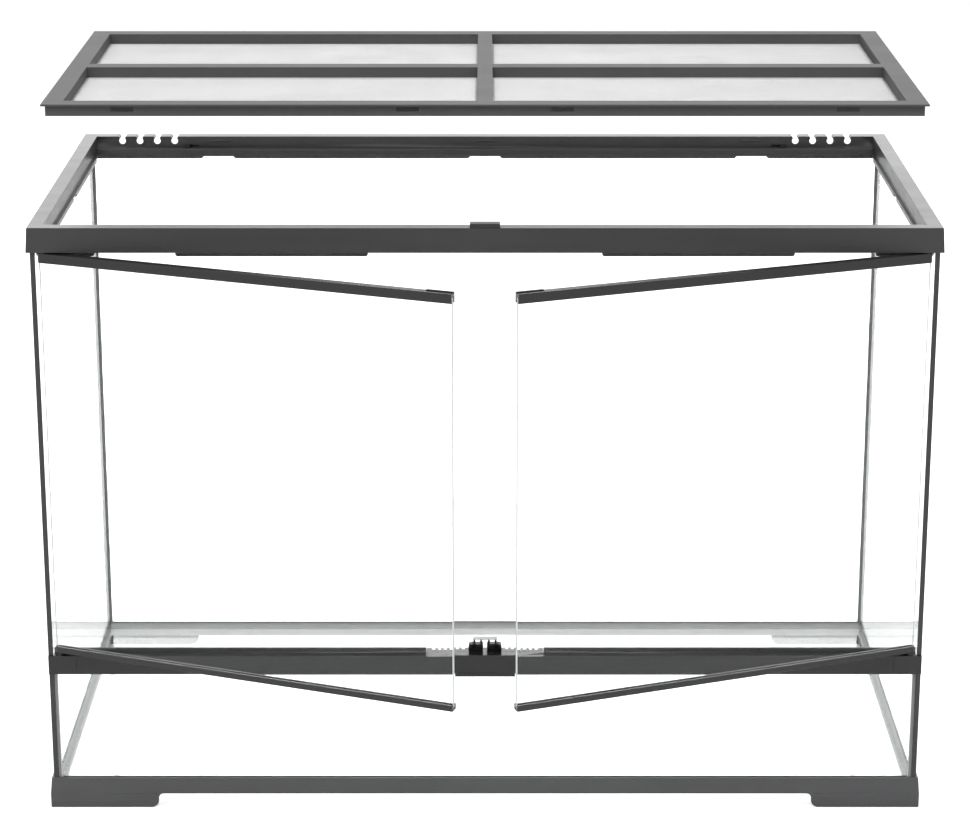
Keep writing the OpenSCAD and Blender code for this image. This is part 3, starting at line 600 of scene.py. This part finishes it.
door_turn = math.radians(21)
door_glass = float_glass("coated_glass", mirror=0.1)
rubber = moulded_plastic("rubber_pad", (0.008, 0.008, 0.009), roughness=0.7)
for side, turn in (("left", door_turn), ("right", -door_turn)):
    rail_plastic = moulded_plastic(side + "_rail_plastic", (0.009, 0.009, 0.0094), roughness=0.22,
                                   turn=turn, gloss=0.35)
    pane(side + "_door_glass", door_glass)
    for rail in ("top", "bottom"):
        moulding(f"{side}_door_{rail}_rail", 0.25 * mm, "charcoal_plastic", rail_plastic)
    moulding(side + "_door_bumper", 0.2 * mm, "rubber_pad", rubber)
    for name in ("top_pin", "bottom_pin", "strike"):
        slots = frame["nodes"][f"{side}_door_{name}"].data.materials
        slots.clear()
        slots.append(steel)

# ---- Lid ---------------------------------------------------------------------------------------
# A moulded frame with four windows, lifted clear of its seat. In each window lies a sheet of fine
# steel wire mesh, which sags a little and isn't quite flat.

lid_plastic = moulded_plastic("lid_plastic", (0.060, 0.060, 0.062), roughness=0.6, gloss=0.1)
moulding("lid_frame", 0.5 * mm, "lid_plastic", lid_plastic)


def wire_cloth_steel():
    """Fine steel wire, a little duller in clouds where it was handled."""
    material, shader, coords = start_material("wire_cloth")
    cloud = noise(coords, scale=25.0, detail=3.0)
    feed(shader, {
        "Base Color": blend_colours(cloud, (0.36, 0.36, 0.36), (0.47, 0.47, 0.47)),
        "Metallic": 0.9,
        "Roughness": 0.34 + cloud * 0.12})
    return material


def wire_cloth(node, seed, material):
    """Two layers of straight-drawn wires at right angles that follow a gently uneven sheet: its
    height is a shallow bowl, sag * (1 - u^2) * (1 - v^2), and two low waves across it."""
    low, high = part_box(node)
    pitch, wire_radius, sag = 1.25 * mm, 0.11 * mm, 0.5 * mm
    turns = np.random.default_rng(seed).uniform(0, 2 * np.pi, 2)

    def height(x, y):
        u = (2 * x - low.x - high.x) / (high.x - low.x)
        v = (2 * y - low.y - high.y) / (high.y - low.y)
        bowl = (1 - u ** 2) * (1 - v ** 2)
        waves = np.sin(7 * u + 2 * v + turns[0]) + np.sin(4 * v - 3 * u + turns[1])
        return low.z + 2.5 * wire_radius - sag * bowl * (1 + 0.45 * waves)

    def layer(along, across, lift, count):
        """Wires of count points along one axis, side by side across the other one."""
        start, end = low[along], high[along]
        first, last = low[across] + pitch / 2, high[across] - pitch / 2
        run = np.linspace(start, end, count)
        places = np.linspace(first, last, int((last - first) / pitch) + 1)
        line = np.zeros((len(places), count, 3))
        line[..., along] = run[None]
        line[..., across] = places[:, None]
        line[..., 2] = height(line[..., 0], line[..., 1]) + lift
        return tube_mesh(node, line, wire_radius, sides=6)

    x_axis, y_axis = 0, 1
    bm = bmesh.new()
    bm.from_mesh(layer(x_axis, y_axis, lift=wire_radius, count=13))
    bm.from_mesh(layer(y_axis, x_axis, lift=-wire_radius, count=7))
    mesh = bpy.data.meshes.new(node + "_wires")
    bm.to_mesh(mesh)
    bm.free()
    mesh.shade_smooth()
    finish_piece(bpy.data.objects.new(node + "_wires", mesh), node, "wire_mesh", material)


mesh_steel = wire_cloth_steel()
for seed, window in enumerate(("front_left", "front_right", "rear_left", "rear_right")):
    wire_cloth("lid_mesh_" + window, seed, mesh_steel)

# ---- Lid catch ---------------------------------------------------------------------------------
# A small moulded block of black plastic on the middle of the top frame's front. It slides back over
# the lid's edge and holds the lid down.

catch_plastic = moulded_plastic("catch_plastic", (0.022, 0.022, 0.023), roughness=0.4)
moulding("lid_catch", 0.35 * mm, "charcoal_plastic", catch_plastic)
